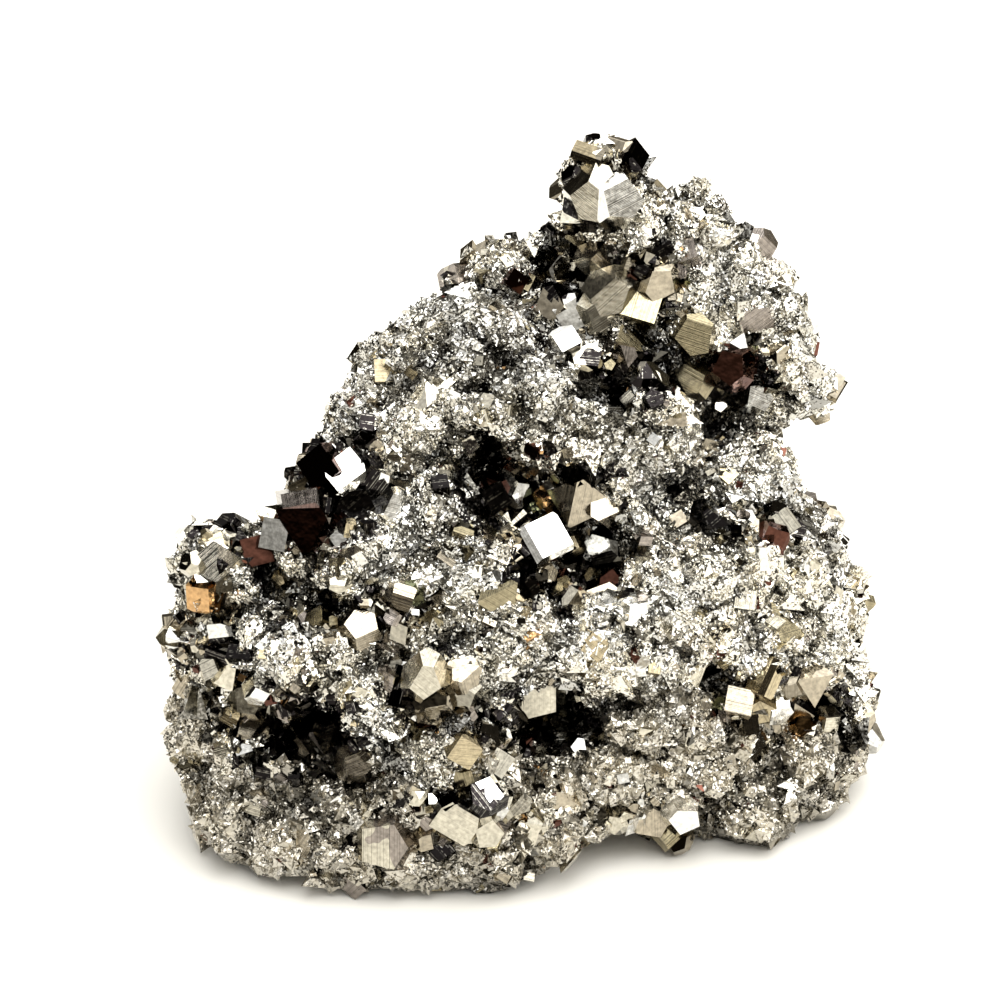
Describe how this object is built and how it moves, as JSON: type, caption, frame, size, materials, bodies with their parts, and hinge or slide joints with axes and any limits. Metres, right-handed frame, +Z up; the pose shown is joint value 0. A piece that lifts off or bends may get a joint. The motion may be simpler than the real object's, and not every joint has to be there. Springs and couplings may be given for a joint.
{
  "type": "pyrite specimen",
  "caption": "Natural pyrite cluster: a lumpy, tapering mass of crystals grown together with dark vugs, a top knob and a flat resting base.",
  "frame": {"origin": "on the resting plane, under the middle of the object's box", "axes": "+X to the right along the longest extent as the front is seen, -Y the front, +Z up"},
  "size_m": [0.07, 0.0474, 0.063],
  "materials": {
    "pyrite": "metallic, pale brass to silver, sparkling crystal faces with fine striations and dark crevices"
  },
  "bodies": {
    "root": {"pyrite_cluster": "pyrite"}
  },
  "joints": []
}
